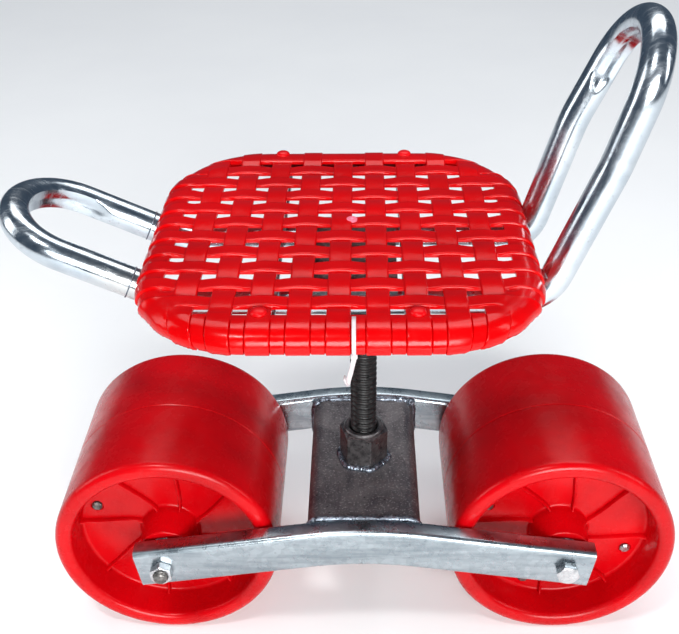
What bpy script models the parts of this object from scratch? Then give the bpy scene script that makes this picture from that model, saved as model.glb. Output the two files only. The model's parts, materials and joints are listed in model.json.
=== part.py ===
"""A low rolling work seat: a woven-look plastic seat on a lifting screw, carried by two wide rollers."""

import math

import bmesh
import bpy
from mathutils import Matrix, Vector

MM = 0.001

# Rollers: each is two moulded halves that meet at mid width.
WHEEL_R = 100.0
WHEEL_HALF = 85.5
WHEEL_SEGS = 28
AXLE_X = 177.3
AXLE_Z = 100.0
HALF_GAP = 0.15
RIB_COUNT = 8
SCREW_COUNT = 4
SCREW_PITCH_R = 70.0
WEB_Y = 53.5

# Side bars: rectangular tube bent to a shallow arch.
BAR_IN = 87.5
BAR_DEPTH = 19.0
BAR_HEIGHT = 40.0
BAR_WALL = 2.0
BAR_CORNER = 5.0
BAR_TOP_Z = 124.0
BAR_BEND_R = 320.0
BAR_SLOPE = 0.152
BAR_END_X = 199.0

# Base tube between the bars.
BASE_W = 100.0
BASE_H = 50.0
BASE_TOP = 140.0
BASE_WALL = 3.0
BASE_CORNER = 8.0

# Lifting screw and its nut.
SCREW_R = 12.0
SCREW_BOTTOM = 72.0
SCREW_TOP = 355.2
BORE_R = 12.6
NUT_FLATS = 36.0
NUT_HEX_H = 29.0
NUT_TOP_H = 33.0
NUT_TURN = math.radians(12.0)

# Axle hardware.
BOLT_R = 6.0
BOLT_FLATS = 18.0
HEAD_H = 7.5
AXLE_NUT_H = 8.0
BOLT_TIP = 119.0

# Tube frame that forms the front handle and the back rest.
TUBE_R = 12.5
TUBE_WALL = 1.8
TUBE_SEGS = 12
LEG_Y = 48.0
LEG_Z = 343.0
FRONT_BEND_X = -150.0
FRONT_TILT = math.radians(25.0)
FRONT_X = -280.0
JOINT_X = -184.0
BACK_BEND_X = 140.4
BACK_TILT = math.radians(70.0)
BACK_X = 216.5
KINK_R = 34.0
FRONT_BEND_R = 70.0

# Seat shell.
SEAT_X = -18.0
RIM_HX = 139.0
RIM_HY = 148.0
RIM_CORNER = 78.0
RIM_Z = 374.0
RIM_R = 12.0
RIM_IN_R = 8.6
COL_PITCH = 28.3
COL_HALF = 8.7
COLS = 9
ROW_PITCH = 25.2
ROW_HALF = 7.4
ROWS = 10
HOLE_EDGE_FRONT = -11.0
HOLE_EDGE_REAR = -10.0
SHELL_UNDER = 376.2
SHELL_LOW = 380.2
SHELL_HIGH = 382.6
MARGIN_TOP = 383.0
FIX_DX = 56.6
FIX_FRONT_Y = -131.0
FIX_REAR_Y = 146.0

# Steel under the seat.
DECK_Z = LEG_Z + TUBE_R + 0.3
PLATE_T = 5.0
CROSS_W = 16.0
RAIL_R = 6.0
RAIL_Y = 145.0
RAIL_HALF = 75.0
TIE_X = -7.0

# The footprint is centred on the origin: the handle leads in front, the roller behind.
FRONT_REACH = -FRONT_X + TUBE_R
BACK_REACH = AXLE_X + WHEEL_R
SHIFT_X = (FRONT_REACH - BACK_REACH) / 2

for old in list(bpy.data.objects):
    bpy.data.objects.remove(old, do_unlink=True)

ROOT = bpy.data.collections.new("work_seat")
bpy.context.scene.collection.children.link(ROOT)
CUTTERS = bpy.data.collections.new("cutters")
bpy.context.scene.collection.children.link(CUTTERS)
CUTTERS.hide_render = True


def material(name, colour, metallic, rough):
    made = bpy.data.materials.new(name)
    made.use_nodes = True
    shader = made.node_tree.nodes["Principled BSDF"]
    shader.inputs["Base Color"].default_value = (*colour, 1.0)
    shader.inputs["Metallic"].default_value = metallic
    shader.inputs["Roughness"].default_value = rough
    return made


LOOKS = {
    "seat_red": ((0.72, 0.012, 0.02), 0.0, 0.3),
    "wheel_red": ((0.62, 0.008, 0.012), 0.0, 0.35),
    "galvanised": ((0.62, 0.64, 0.66), 1.0, 0.34),
    "mill_steel": ((0.13, 0.115, 0.12), 0.7, 0.5),
    "black_steel": ((0.03, 0.03, 0.032), 0.8, 0.45),
    "zinc": ((0.66, 0.67, 0.68), 1.0, 0.3),
    "bearing_steel": ((0.5, 0.5, 0.52), 1.0, 0.25),
    "tie_white": ((0.82, 0.82, 0.8), 0.0, 0.5),
}


def place(name, points, faces, look, cutter=False):
    """One object from points in millimetres; each gets a material of its own."""
    mesh = bpy.data.meshes.new(name)
    mesh.from_pydata([Vector(p) * MM for p in points], [], faces)
    bm = bmesh.new()
    bm.from_mesh(mesh)
    bmesh.ops.recalc_face_normals(bm, faces=bm.faces)
    bm.to_mesh(mesh)
    bm.free()
    obj = bpy.data.objects.new(name, mesh)
    if cutter:
        CUTTERS.objects.link(obj)
        obj.hide_render = True
        obj.display_type = "WIRE"
        return obj
    ROOT.objects.link(obj)
    mesh.materials.append(material(name + "_look", *LOOKS[look]))
    return obj


def boolean(obj, other, operation="DIFFERENCE"):
    step = obj.modifiers.new(operation.lower(), "BOOLEAN")
    step.operation = operation
    step.solver = "EXACT"
    step.object = other


def lathe(name, profile, centre, look, axis="Y", segs=24, turn=0.0, fit=False, cutter=False):
    """Turn a profile of (radius, height) about an axis. A profile that starts and ends
    at radius 0 is open with two poles, any other is closed on itself. With fit the
    facets touch the stated radius from outside."""
    grow = 1 / math.cos(math.pi / segs) if fit else 1.0
    poles = profile[0][0] == 0 and profile[-1][0] == 0
    points = []
    rings = []
    for radius, height in profile:
        count = 1 if poles and radius == 0 else segs
        rings.append((len(points), count))
        for k in range(count):
            angle = turn + (k + 0.5) * 2 * math.pi / segs
            u = radius * grow * math.sin(angle)
            v = -radius * grow * math.cos(angle)
            if axis == "Y":
                points.append((centre[0] + u, centre[1] + height, centre[2] + v))
            elif axis == "Z":
                points.append((centre[0] + u, centre[1] + v, centre[2] + height))
            else:
                points.append((centre[0] + height, centre[1] + u, centre[2] + v))
    faces = []
    pairs = list(zip(rings, rings[1:]))
    if not poles:
        pairs.append((rings[-1], rings[0]))
    for (a, na), (b, nb) in pairs:
        for k in range(segs):
            n = (k + 1) % segs
            if na == 1:
                faces.append((a, b + k, b + n))
            elif nb == 1:
                faces.append((a + k, b, a + n))
            else:
                faces.append((a + k, b + k, b + n, a + n))
    return place(name, points, faces, look, cutter)


def rod(name, radius, low, high, centre, look, axis="Y", segs=16, cutter=False, fit=False):
    profile = [(0, low), (radius, low), (radius, high), (0, high)]
    return lathe(name, profile, centre, look, axis, segs, 0.0, fit, cutter)


def ring(name, inner, outer, low, high, centre, look, axis="Y", segs=24):
    profile = [(inner, low), (outer, low), (outer, high), (inner, high)]
    return lathe(name, profile, centre, look, axis, segs)


def box(name, low, high, look, cutter=False):
    points = [(x, y, z) for x in (low[0], high[0]) for y in (low[1], high[1]) for z in (low[2], high[2])]
    faces = [(0, 1, 3, 2), (4, 6, 7, 5), (0, 4, 5, 1), (2, 3, 7, 6), (0, 2, 6, 4), (1, 5, 7, 3)]
    return place(name, points, faces, look, cutter)


def rounded_section(width, height, corner, steps=2):
    """A closed rounded rectangle as (side, up) offsets."""
    out = []
    for sx, sy, start in ((1, 1, 0), (-1, 1, 90), (-1, -1, 180), (1, -1, 270)):
        cx = sx * (width / 2 - corner)
        cy = sy * (height / 2 - corner)
        for k in range(steps + 1):
            angle = math.radians(start + 90 * k / steps)
            out.append((cx + corner * math.cos(angle), cy + corner * math.sin(angle)))
    return out


def round_section(radius, segs):
    return [
        (radius * math.cos(2 * math.pi * k / segs), radius * math.sin(2 * math.pi * k / segs))
        for k in range(segs)
    ]


def path_frames(path, side):
    """Tangent, side and up at each point. The side vector is carried along the path."""
    frames = []
    for k, point in enumerate(path):
        before = path[max(k - 1, 0)]
        after = path[min(k + 1, len(path) - 1)]
        tangent = (after - before).normalized()
        side = (side - tangent * side.dot(tangent)).normalized()
        frames.append((point, side, tangent.cross(side)))
    return frames


def sweep(name, path, section, look, side, inner=None, cutter=False):
    """Sweep a section along an open path, hollow if an inner section is given."""
    loops = [section] + ([inner] if inner else [])
    count = len(section)
    points = []
    for point, across, up in path_frames(path, side):
        for loop in loops:
            points += [point + across * a + up * b for a, b in loop]
    stride = count * len(loops)
    faces = []
    for k in range(len(path) - 1):
        for n in range(len(loops)):
            for i in range(count):
                a = k * stride + n * count + i
                b = k * stride + n * count + (i + 1) % count
                faces.append((a, b, b + stride, a + stride))
    last = (len(path) - 1) * stride
    for start in (0, last):
        if inner:
            for i in range(count):
                j = (i + 1) % count
                faces.append((start + i, start + j, start + count + j, start + count + i))
        else:
            faces.append(tuple(start + i for i in range(count)))
    return place(name, points, faces, look, cutter)


def filleted(corners, radii, steps):
    """A path through the corners with an arc of the given radius at each inner one."""
    path = [corners[0]]
    for k in range(1, len(corners) - 1):
        here = corners[k]
        back = (corners[k - 1] - here).normalized()
        ahead = (corners[k + 1] - here).normalized()
        half = back.angle(ahead) / 2
        reach = radii[k - 1] / math.tan(half)
        hub = here + (back + ahead).normalized() * radii[k - 1] / math.sin(half)
        start = here + back * reach - hub
        turn = start.cross(here + ahead * reach - hub).normalized()
        sweep_angle = math.pi - 2 * half
        for n in range(steps[k - 1] + 1):
            spin = Matrix.Rotation(sweep_angle * n / steps[k - 1], 3, turn)
            point = hub + spin @ start
            if (point - path[-1]).length > 0.01:
                path.append(point)
    if (corners[-1] - path[-1]).length > 0.01:
        path.append(corners[-1])
    return path


# ---------------------------------------------------------------- rollers


def half_profile(side):
    """Section of one moulded roller half: barrel, rolled rim, dish, web and hub."""
    outline = [
        (100.0, HALF_GAP),
        (100.0, 77.5),
        (97.4, 83.2),
        (91.5, WHEEL_HALF),
        (86.4, 82.6),
        (84.4, 76.0),
        (81.6, 57.5),
        (77.5, WEB_Y),
        (26.0, 54.5),
        (23.0, 84.6),
        (16.2, 84.6),
        (16.2, 73.9),
        (12.6, 73.9),
        (12.6, HALF_GAP),
        (20.0, HALF_GAP),
        (20.0, 50.5),
        (79.6, 49.5),
        (85.4, 56.0),
        (89.0, 79.0),
        (95.8, 77.0),
        (95.8, HALF_GAP),
    ]
    return [(radius, side * height) for radius, height in outline]


def swirl_ribs(name, centre_x, side):
    """Curved stiffening ribs that stand on the outside of a web, as one cutter mesh."""
    points = []
    faces = []
    inner_r, outer_r, steps = 24.0, 83.0, 3
    for rib in range(RIB_COUNT):
        base = rib * 2 * math.pi / RIB_COUNT + 0.12
        start = len(points)
        for n in range(steps + 1):
            t = n / steps
            radius = inner_r + (outer_r - inner_r) * t
            angle = base + 0.34 * (1 - t) ** 2
            across = 1.3 / radius
            for turn in (angle - across, angle + across):
                x = centre_x + radius * math.sin(turn)
                z = AXLE_Z + radius * math.cos(turn)
                points.append((x, side * (WEB_Y - 1.5), z))
                points.append((x, side * (WEB_Y + 4.5), z))
        for n in range(steps):
            a = start + 4 * n
            b = a + 4
            faces += [(a, a + 1, b + 1, b), (a + 2, b + 2, b + 3, a + 3)]
            faces += [(a + 1, a + 3, b + 3, b + 1), (a, b, b + 2, a + 2)]
        end = start + 4 * steps
        faces += [(start, start + 2, start + 3, start + 1), (end, end + 1, end + 3, end + 2)]
    return place(name, points, faces, "wheel_red", cutter=True)


def screw_spots(centre_x):
    for k in range(SCREW_COUNT):
        angle = math.radians(22.0 + 90.0 * k)
        x = centre_x + SCREW_PITCH_R * math.sin(angle)
        yield k + 1, (x, 0.0, AXLE_Z + SCREW_PITCH_R * math.cos(angle))


def build_wheel(end, centre_x):
    hub = (centre_x, 0.0, AXLE_Z)
    for hand, side in (("left", -1), ("right", 1)):
        half_name = f"{end}_wheel_half_{hand}"
        half = lathe(half_name, half_profile(side), hub, "wheel_red", segs=WHEEL_SEGS, fit=True)
        boolean(half, swirl_ribs(f"cut_{end}_ribs_{hand}", centre_x, side), "UNION")
        for k, spot in screw_spots(centre_x):
            sunk = 5.8 if side < 0 else 3.4
            hole = [(0, 40), (3.4, 40), (3.4, 52.2), (sunk, 52.2), (sunk, 62), (0, 62)]
            if side > 0:
                hole = [(0, 40), (3.4, 40), (3.4, 62), (0, 62)]
            hole = [(radius, side * height) for radius, height in hole]
            name = f"cut_{end}_hole_{hand}_{k}"
            boolean(half, lathe(name, hole, spot, "zinc", segs=10, cutter=True))
        low, high = sorted((side * 74.2, side * 84.4))
        ring(f"{end}_bearing_outer_{hand}", 12.4, 15.8, low, high, hub, "bearing_steel", segs=14)
        ring(f"{end}_bearing_inner_{hand}", 6.5, 9.4, low, high, hub, "bearing_steel", segs=12)
        low, high = sorted((side * 84.8, side * (BAR_IN - 0.3)))
        ring(f"{end}_axle_washer_{hand}", 6.5, 11.0, low, high, hub, "zinc", segs=12)
    ring(f"{end}_axle_sleeve", 6.5, 8.6, -73.9, 73.9, hub, "zinc", segs=12)
    for k, spot in screw_spots(centre_x):
        head = [(0, -56.0), (3.2, -56.0), (4.8, -54.6), (4.8, -52.5), (2.4, -52.5), (2.4, 57.0), (0, 57.0)]
        lathe(f"{end}_wheel_screw_{k}", head, spot, "zinc", segs=8)


def build_axle(end, centre_x, head_side):
    """A hexagon-head bolt whose head is at head_side, with its nut at the other side."""
    hub = (centre_x, 0.0, AXLE_Z)
    face = BAR_IN + BAR_DEPTH + 0.3
    corner = BOLT_FLATS / math.sqrt(3)
    s = head_side
    shank = [
        (0, s * (face + HEAD_H)),
        (corner * 0.9, s * (face + HEAD_H)),
        (corner, s * (face + HEAD_H - 1.2)),
        (corner, s * face),
    ]
    head = lathe(f"{end}_axle_bolt", shank + [(0, s * face)], hub, "zinc", segs=6, turn=0.2)
    stem = [
        (0, s * (face + 1)),
        (BOLT_R, s * (face + 1)),
        (BOLT_R, -s * (BOLT_TIP - 1.2)),
        (5.0, -s * BOLT_TIP),
        (0, -s * BOLT_TIP),
    ]
    boolean(head, lathe(f"cut_{end}_stem", stem, hub, "zinc", segs=16, cutter=True), "UNION")
    nut = [
        (6.4, -s * face),
        (corner, -s * face),
        (corner, -s * (face + AXLE_NUT_H - 1.2)),
        (corner * 0.9, -s * (face + AXLE_NUT_H)),
        (6.4, -s * (face + AXLE_NUT_H)),
    ]
    blank = [(0, -s * face)] + nut[1:4] + [(0, -s * (face + AXLE_NUT_H))]
    shape = lathe(f"{end}_axle_nut", blank, hub, "zinc", segs=6, turn=0.45)
    boolean(shape, rod(f"cut_{end}_nut_bore", 6.4, -140, 140, hub, "zinc", cutter=True, fit=True))


for end_name, wheel_x, head_at in (("front", -AXLE_X, 1), ("rear", AXLE_X, -1)):
    build_wheel(end_name, wheel_x)
    build_axle(end_name, wheel_x, head_at)

# ---------------------------------------------------------------- chassis


def bar_height(x):
    """Height of the bar's centreline: an arc in the middle, straight ends."""
    run = abs(x)
    tangent_x = BAR_BEND_R * BAR_SLOPE
    if run <= tangent_x:
        return BAR_TOP_Z - run * run / (2 * BAR_BEND_R)
    drop = tangent_x * tangent_x / (2 * BAR_BEND_R)
    return BAR_TOP_Z - drop - BAR_SLOPE * (run - tangent_x)


for hand, side in (("left", -1), ("right", 1)):
    stations = [-BAR_END_X] + [BAR_BEND_R * BAR_SLOPE * k / 3 for k in range(-3, 4)] + [BAR_END_X]
    mid = side * (BAR_IN + BAR_DEPTH / 2)
    line = [Vector((x, mid, bar_height(x))) for x in stations]
    outer = rounded_section(BAR_DEPTH, BAR_HEIGHT, BAR_CORNER)
    bore = rounded_section(BAR_DEPTH - 2 * BAR_WALL, BAR_HEIGHT - 2 * BAR_WALL, BAR_CORNER - BAR_WALL)
    bar = sweep(f"side_bar_{hand}", line, outer, "galvanised", Vector((0, 1, 0)), bore)
    for end_name, wheel_x in (("front", -AXLE_X), ("rear", AXLE_X)):
        spot = (wheel_x, 0.0, AXLE_Z)
        low, high = sorted((side * 80, side * 120))
        boolean(bar, rod(f"cut_bar_{hand}_{end_name}", 6.5, low, high, spot, "zinc", cutter=True, fit=True))

reach = BAR_IN - 0.3
middle = BASE_TOP - BASE_H / 2
line = [Vector((0, -reach, middle)), Vector((0, reach, middle))]
outer = rounded_section(BASE_W, BASE_H, BASE_CORNER)
bore = rounded_section(BASE_W - 2 * BASE_WALL, BASE_H - 2 * BASE_WALL, BASE_CORNER - BASE_WALL)
base = sweep("base_tube", line, outer, "mill_steel", Vector((1, 0, 0)), bore)
boolean(base, rod("cut_base_bore", BORE_R, 60, 160, (0, 0, 0), "zinc", "Z", 24, True, True))

nut_low = BASE_TOP + 0.3
corner = NUT_FLATS / math.sqrt(3)
profile = [
    (0, nut_low),
    (corner, nut_low),
    (corner, nut_low + NUT_HEX_H - 2.0),
    (NUT_FLATS / 2, nut_low + NUT_HEX_H),
    (NUT_FLATS / 2 - 0.8, nut_low + NUT_TOP_H),
    (0, nut_low + NUT_TOP_H),
]
nut = lathe("lift_nut", profile, (0, 0, 0), "mill_steel", "Z", 6, NUT_TURN - math.pi / 6)
boolean(nut, rod("cut_nut_bore", BORE_R, 100, 220, (0, 0, 0), "zinc", "Z", 24, True, True))

stem = [
    (0, SCREW_BOTTOM),
    (SCREW_R - 2, SCREW_BOTTOM),
    (SCREW_R, SCREW_BOTTOM + 2),
    (SCREW_R, SCREW_TOP),
    (0, SCREW_TOP),
]
lathe("lift_screw", stem, (0, 0, 0), "black_steel", "Z", 24)

# ---------------------------------------------------------------- tube frame

front_rise = math.tan(FRONT_TILT)
back_rise = math.tan(BACK_TILT)
joint_z = LEG_Z + (FRONT_BEND_X - JOINT_X) * front_rise
front_z = LEG_Z + (FRONT_BEND_X - FRONT_X) * front_rise
back_z = LEG_Z + (BACK_X - BACK_BEND_X) * back_rise
slope = Vector((-math.cos(FRONT_TILT), 0, math.sin(FRONT_TILT)))
TUBE = round_section(TUBE_R, TUBE_SEGS)
TUBE_BORE = round_section(TUBE_R - TUBE_WALL, TUBE_SEGS)

joint = Vector((JOINT_X, 0, joint_z))
leg = Vector((0, LEG_Y, 0))
corners = [
    joint + slope * 0.15 + leg,
    Vector((FRONT_X, LEG_Y, front_z)),
    Vector((FRONT_X, -LEG_Y, front_z)),
    joint + slope * 0.15 - leg,
]
path = filleted(corners, [LEG_Y, LEG_Y], [6, 6])
sweep("front_handle", path, TUBE, "galvanised", Vector((0, 0, 1)), TUBE_BORE)

corners = [
    joint - slope * 0.15 + leg,
    Vector((FRONT_BEND_X, LEG_Y, LEG_Z)),
    Vector((BACK_BEND_X, LEG_Y, LEG_Z)),
    Vector((BACK_X, LEG_Y, back_z)),
    Vector((BACK_X, -LEG_Y, back_z)),
    Vector((BACK_BEND_X, -LEG_Y, LEG_Z)),
    Vector((FRONT_BEND_X, -LEG_Y, LEG_Z)),
    joint - slope * 0.15 - leg,
]
radii = [FRONT_BEND_R, KINK_R, LEG_Y, LEG_Y, KINK_R, FRONT_BEND_R]
path = filleted(corners, radii, [2, 4, 6, 6, 4, 2])
sweep("back_frame", path, TUBE, "galvanised", Vector((0, 0, 1)), TUBE_BORE)

# ---------------------------------------------------------------- steel under the seat

deck_top = DECK_Z + PLATE_T
box("mount_plate", (-58, -60, DECK_Z), (27, 60, deck_top), "mill_steel")
ring("screw_collar", BORE_R, 18.0, 333.0, DECK_Z - 0.3, (0, 0, 0), "mill_steel", "Z")
for end_name, sign in (("front", -1), ("rear", 1)):
    x = SEAT_X + sign * FIX_DX
    low = (x - CROSS_W / 2, -149.0, DECK_Z)
    box(f"cross_bar_{end_name}", low, (x + CROSS_W / 2, 149.0, deck_top), "galvanised")
rail_z = deck_top + 0.3 + RAIL_R
for hand, side in (("left", -1), ("right", 1)):
    spot = (SEAT_X, side * RAIL_Y, rail_z)
    rod(f"seat_rail_{hand}", RAIL_R, -RAIL_HALF, RAIL_HALF, spot, "galvanised", "X", 12)

# ---------------------------------------------------------------- seat shell


def rim_distance(x, y):
    """Signed distance from the rim's centreline, negative inside."""
    qx = abs(x) - (RIM_HX - RIM_CORNER)
    qy = abs(y) - (RIM_HY - RIM_CORNER)
    outside = math.hypot(max(qx, 0), max(qy, 0))
    return outside + min(max(qx, qy), 0) - RIM_CORNER


def band_lines(count, pitch, half, edge):
    """Lattice lines across the shell as (position, kind); kind is edge, side or mid."""
    lines = [(-edge, "edge")]
    first = -(count - 1) / 2 * pitch
    lines.append((first - pitch + half, "edge"))
    for k in range(count):
        here = first + k * pitch
        lines += [(here - half, "side"), (here, "mid"), (here + half, "side")]
    lines.append((-first + pitch - half, "edge"))
    lines.append((edge, "edge"))
    return lines


def build_shell_plate():
    """The woven field as one pierced plate, its top raised along whichever strip is over."""
    xs = band_lines(COLS, COL_PITCH, COL_HALF, RIM_HX - 1)
    ys = band_lines(ROWS, ROW_PITCH, ROW_HALF, RIM_HY - 1)
    points = []
    for layer in ("top", "under"):
        for i, (x, kx) in enumerate(xs):
            for j, (y, ky) in enumerate(ys):
                z = SHELL_UNDER
                if layer == "top":
                    over = ((i + 1) // 3 + (j + 1) // 3) % 2 == 0
                    z = SHELL_LOW
                    if "edge" in (kx, ky):
                        z = MARGIN_TOP
                    elif kx == ky == "mid":
                        z = SHELL_HIGH
                    elif ky == "mid":
                        z = SHELL_HIGH if over else SHELL_LOW
                    elif kx == "mid":
                        z = SHELL_LOW if over else SHELL_HIGH
                points.append((SEAT_X + x, y, z))
    nx, ny = len(xs), len(ys)

    def solid(i, j):
        if not (0 <= i < nx - 1 and 0 <= j < ny - 1):
            return False
        narrow_x = i >= 1 and (i - 1) % 3 == 0
        narrow_y = j >= 1 and (j - 1) % 3 == 0
        if not (narrow_x and narrow_y):
            return True
        x = (xs[i][0] + xs[i + 1][0]) / 2
        y = (ys[j][0] + ys[j + 1][0]) / 2
        return rim_distance(x, y) > (HOLE_EDGE_FRONT if y < 0 else HOLE_EDGE_REAR)

    faces = []
    under = nx * ny
    for i in range(nx - 1):
        for j in range(ny - 1):
            if not solid(i, j):
                continue
            a, b, c, d = i * ny + j, (i + 1) * ny + j, (i + 1) * ny + j + 1, i * ny + j + 1
            faces.append((a, b, c, d))
            faces.append((a + under, d + under, c + under, b + under))
            sides = (((a, b), (0, -1)), ((b, c), (1, 0)), ((c, d), (0, 1)), ((d, a), (-1, 0)))
            for (p, q), (di, dj) in sides:
                if not solid(i + di, j + dj):
                    faces.append((p, p + under, q + under, q))
    return place("seat_panel", points, faces, "seat_red")


def rounded_loop(half_x, half_y, corner, steps):
    """Points and outward directions round a rounded rectangle, anticlockwise."""
    out = []
    for sx, sy, start in ((1, 1, 0), (-1, 1, 90), (-1, -1, 180), (1, -1, 270)):
        for k in range(steps + 1):
            angle = math.radians(start + 90 * k / steps)
            n = Vector((math.cos(angle), math.sin(angle), 0))
            hub = Vector((sx * (half_x - corner), sy * (half_y - corner), 0))
            out.append((hub + n * corner, n))
    return out


def build_rim():
    """The rolled edge: a C section open underneath, swept round the seat."""
    arc = [-55, -28, 0, 30, 60, 90, 130]
    section = [(RIM_R * math.cos(math.radians(a)), RIM_R * math.sin(math.radians(a))) for a in arc]
    back = [130, 90, 40, -10, -55]
    section += [(RIM_IN_R * math.cos(math.radians(a)), RIM_IN_R * math.sin(math.radians(a))) for a in back]
    loop = rounded_loop(RIM_HX, RIM_HY, RIM_CORNER, 6)
    count = len(section)
    points = []
    for point, n in loop:
        spot = point + Vector((SEAT_X, 0, RIM_Z))
        points += [spot + n * a + Vector((0, 0, b)) for a, b in section]
    faces = []
    for k in range(len(loop)):
        m = (k + 1) % len(loop)
        for i in range(count):
            j = (i + 1) % count
            faces.append((k * count + i, k * count + j, m * count + j, m * count + i))
    return place("cut_rim", points, faces, "seat_red", cutter=True)


def build_outline():
    loop = rounded_loop(RIM_HX - 3, RIM_HY - 3, RIM_CORNER - 3, 6)
    points = [p + Vector((SEAT_X, 0, z)) for z in (RIM_Z - 10, RIM_Z + 20) for p, _ in loop]
    n = len(loop)
    faces = [tuple(range(n)), tuple(range(n, 2 * n))]
    faces += [(k, (k + 1) % n, n + (k + 1) % n, n + k) for k in range(n)]
    return place("cut_outline", points, faces, "seat_red", cutter=True)


panel = build_shell_plate()
boolean(panel, build_outline(), "INTERSECT")
boolean(panel, build_rim(), "UNION")

studs = []
for end_name, sign in (("front", -1), ("rear", 1)):
    x = SEAT_X + sign * FIX_DX
    studs.append((f"seat_stud_{end_name}_left", x, FIX_FRONT_Y, MARGIN_TOP + 0.3, deck_top + 0.3))
    studs.append((f"seat_stud_{end_name}_right", x, FIX_REAR_Y, RIM_Z + RIM_R + 0.3, rail_z + RAIL_R + 0.3))
for name, x, y, seat_z, foot_z in studs:
    shank = [(0, foot_z), (2.6, foot_z), (2.6, seat_z)]
    dome = shank + [(7.0, seat_z), (6.0, seat_z + 1.6), (3.0, seat_z + 2.6), (0, seat_z + 2.9)]
    lathe(name, dome, (x, y, 0), "seat_red", "Z", 12)
    boolean(panel, rod(f"cut_{name}", 3.2, 364, 400, (x, y, 0), "zinc", "Z", 12, True, True))

# ---------------------------------------------------------------- cable tie

TIE_C = (TIE_X, -RIM_HY + 0.4, 373.4)
TIE_R = 13.1
tie = ring("cable_tie", TIE_R, TIE_R + 1.1, -2.0, 2.0, TIE_C, "tie_white", "X", 20)
head_low = (TIE_X - 3.2, -RIM_HY - 3.6, 354.6)
head_high = (TIE_X + 3.2, -RIM_HY + 3.2, 359.8)
box("cut_tie_head", head_low, head_high, "tie_white", True)
boolean(tie, bpy.data.objects["cut_tie_head"], "UNION")
tail = [
    Vector((TIE_X, -RIM_HY - 1.4, 355.5)),
    Vector((TIE_X - 3.0, -RIM_HY - 2.2, 341.0)),
    Vector((TIE_X - 7.5, -RIM_HY - 3.0, 327.0)),
]
strip = [(-1.8, -0.65), (1.8, -0.65), (1.8, 0.65), (-1.8, 0.65)]
boolean(tie, sweep("cut_tie_tail", tail, strip, "tie_white", Vector((1, 0, 0)), cutter=True), "UNION")
slot = ring("cut_tie_slot_ring", TIE_R - 0.5, TIE_R + 1.8, -2.6, 2.6, TIE_C, "tie_white", "X", 20)
ROOT.objects.unlink(slot)
CUTTERS.objects.link(slot)
slot.hide_render = True
slot.display_type = "WIRE"
boolean(panel, slot)

for thing in list(ROOT.objects) + list(CUTTERS.objects):
    thing.location.x += SHIFT_X * MM
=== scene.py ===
"""Looks of a low rolling work seat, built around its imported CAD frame.

Lengths are millimetres from the lifting screw's axis and the floor, and place() turns them
into metres in the frame. The handle leads towards -X, and the near side is -Y.
"""

import json
from math import atan2, ceil, cos, degrees, dist, exp, floor, hypot, pi, radians, sin, sqrt, tan
import random

import bmesh
import bpy
from mathutils import Matrix, Vector, noise

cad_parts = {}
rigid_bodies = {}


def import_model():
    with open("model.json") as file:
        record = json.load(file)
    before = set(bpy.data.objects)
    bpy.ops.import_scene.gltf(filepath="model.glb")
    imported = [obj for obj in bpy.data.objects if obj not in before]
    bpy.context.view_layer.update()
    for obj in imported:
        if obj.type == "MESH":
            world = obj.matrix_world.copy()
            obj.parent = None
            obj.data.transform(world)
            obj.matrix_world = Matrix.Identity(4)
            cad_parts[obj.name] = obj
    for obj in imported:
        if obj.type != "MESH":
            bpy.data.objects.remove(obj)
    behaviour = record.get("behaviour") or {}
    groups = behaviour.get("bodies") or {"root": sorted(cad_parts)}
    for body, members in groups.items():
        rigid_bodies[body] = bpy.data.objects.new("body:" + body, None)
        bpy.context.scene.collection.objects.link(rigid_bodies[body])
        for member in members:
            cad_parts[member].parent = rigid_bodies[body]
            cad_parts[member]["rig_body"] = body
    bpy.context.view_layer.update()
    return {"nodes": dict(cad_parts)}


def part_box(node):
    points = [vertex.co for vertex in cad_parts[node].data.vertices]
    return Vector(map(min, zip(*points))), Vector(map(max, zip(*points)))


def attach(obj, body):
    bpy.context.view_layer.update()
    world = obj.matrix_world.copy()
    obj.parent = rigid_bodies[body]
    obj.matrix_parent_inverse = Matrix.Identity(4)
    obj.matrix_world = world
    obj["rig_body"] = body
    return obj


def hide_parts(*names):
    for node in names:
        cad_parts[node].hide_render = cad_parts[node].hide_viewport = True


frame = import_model()

MM = 0.001
HANDS = (("left", -1), ("right", 1))
SCREW_LOW, SCREW_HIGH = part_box("lift_screw")
AXIS_X = (SCREW_LOW.x + SCREW_HIGH.x) / 2 / MM


def span(node):
    """Lowest and highest corner of a CAD node, in this script's millimetres."""
    low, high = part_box(node)
    shift = Vector((AXIS_X, 0, 0))
    return low / MM - shift, high / MM - shift


def middle(node):
    """Centre of a CAD node."""
    return [(a + b) / 2 for a, b in zip(*span(node))]


def body_of(node):
    return frame["nodes"][node]["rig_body"]


# Rollers
WHEEL_R = 100
WHEEL_X, _, WHEEL_Z = middle("rear_axle_sleeve")
WHEEL_HALF = 85.5
WEB_Y = 53.5
RIB_COUNT = 8
RIB_SWIRL = 0.34
HOLE_PITCH_R = 70
HOLE_R = 5.8

# Side bars and base tube
BAR_IN = span("side_bar_right")[0].y
BAR_DEPTH = span("side_bar_right")[1].y - BAR_IN
BAR_HEIGHT = 40
BAR_WALL = 2
BAR_CORNER = 5
BAR_TOP_Z = 124
BAR_BEND_R = 320
BAR_SLOPE = 0.152
BAR_END_X = 199
BASE_LOW, BASE_HIGH = span("base_tube")
BASE_CORNER = 13
BASE_WALL = 3

# Screw and nut
SCREW_R = 12
SCREW_ROOT = 9.9
SCREW_PITCH = 5.5
NUT_FLATS = 39.5
NUT_LOW, NUT_TOP = (corner.z for corner in span("lift_nut"))
NUT_RAISE = 4
NUT_TURN = radians(12)

# Axle hardware
BOLT_R = 6
BOLT_FLATS = 18
BOLT_HEAD = 7.5
AXLE_NUT_H = 8

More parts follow.
